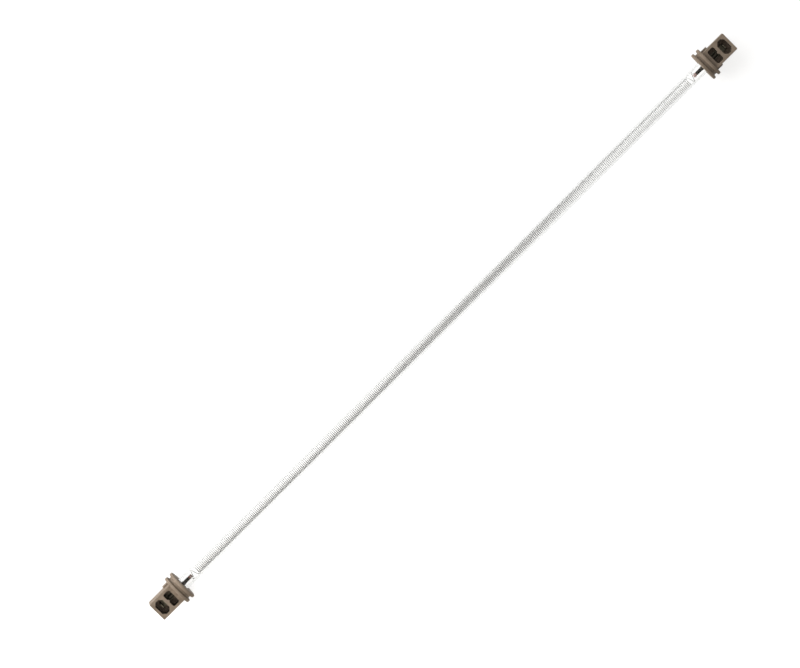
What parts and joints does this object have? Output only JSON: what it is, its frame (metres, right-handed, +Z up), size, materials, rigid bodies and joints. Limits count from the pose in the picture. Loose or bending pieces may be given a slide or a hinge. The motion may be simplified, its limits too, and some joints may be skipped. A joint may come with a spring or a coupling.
{
  "type": "defrost heater",
  "caption": "Glass-tube defrost heater: a resistance coil in a clear tube between two moulded connector caps with bracket grooves.",
  "frame": {"origin": "middle of the glass tube's axis, which is the centre of the whole part's box", "axes": "+X along the tube towards the right cap, +Z up out of the right cap's connector openings, +Y across the tube"},
  "size_m": [0.5906, 0.024, 0.024],
  "materials": {
    "clear_glass": "clear drawn tube",
    "resistance_wire": "dull grey drawn wire",
    "cap_moulding": "matt taupe moulding",
    "seal_rubber": "soft, off-white",
    "pin_metal": "dark oxidised, crimped",
    "ferrule_copper": "copper, dulled",
    "terminal_metal": "tinned strip"
  },
  "bodies": {
    "root": {"glass_tube": "clear_glass", "heating_coil": "resistance_wire", "left_end_cap": "cap_moulding", "right_end_cap": "cap_moulding", "left_tube_seal": "seal_rubber", "right_tube_seal": "seal_rubber", "left_lead_pin": "pin_metal", "right_lead_pin": "pin_metal", "left_ferrule": "ferrule_copper", "right_ferrule": "ferrule_copper", "left_terminal": "terminal_metal", "right_terminal": "terminal_metal"}
  },
  "joints": []
}
